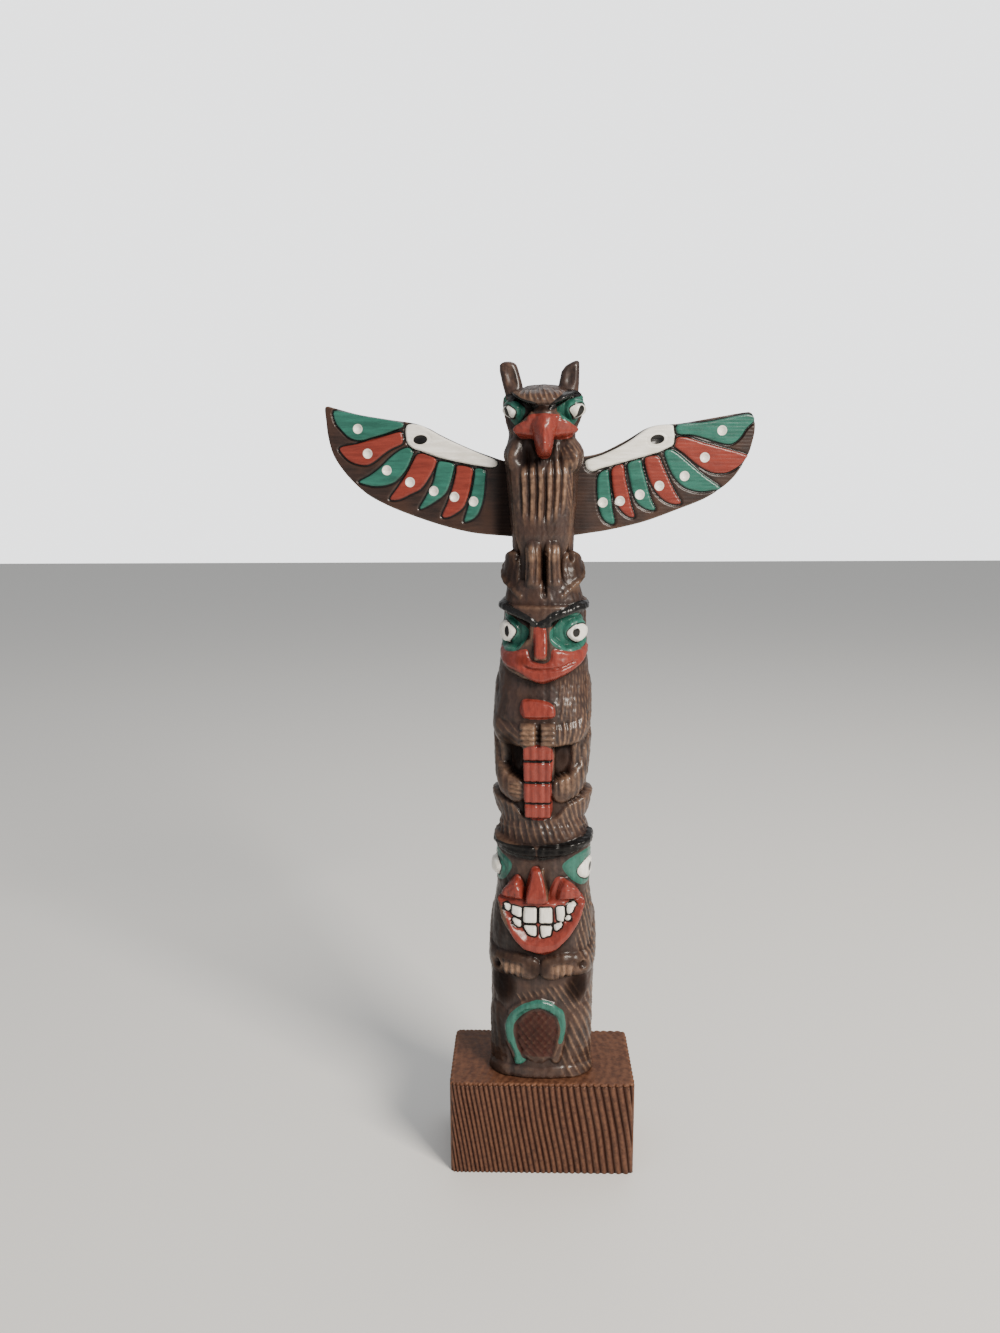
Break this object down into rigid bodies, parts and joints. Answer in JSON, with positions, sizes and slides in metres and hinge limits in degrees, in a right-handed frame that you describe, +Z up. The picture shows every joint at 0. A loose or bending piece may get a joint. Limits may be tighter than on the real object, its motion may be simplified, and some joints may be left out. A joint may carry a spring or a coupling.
{
  "type": "carved wooden totem",
  "caption": "Small carved and painted totem: a winged bird over a figure gripping a staff and a grinning beaver, on a ridged block plinth.",
  "frame": {"origin": "middle of the plinth's underside, on the surface it stands on", "axes": "+Z up the pole, -Y the way the figures look, +X towards the wing on the viewer's right"},
  "size_m": [0.1247, 0.032, 0.2409],
  "materials": {
    "plinth": "dark brown stain rubbed off the ridges, satin",
    "pole": "brown stain with brick red, green, white and black gloss paint, semi-gloss",
    "wing": "green, red and white gloss paint over brown stained wood, semi-gloss"
  },
  "bodies": {
    "root": {"plinth": "plinth", "pole": "pole", "wing_left": "wing", "wing_right": "wing"}
  },
  "joints": []
}
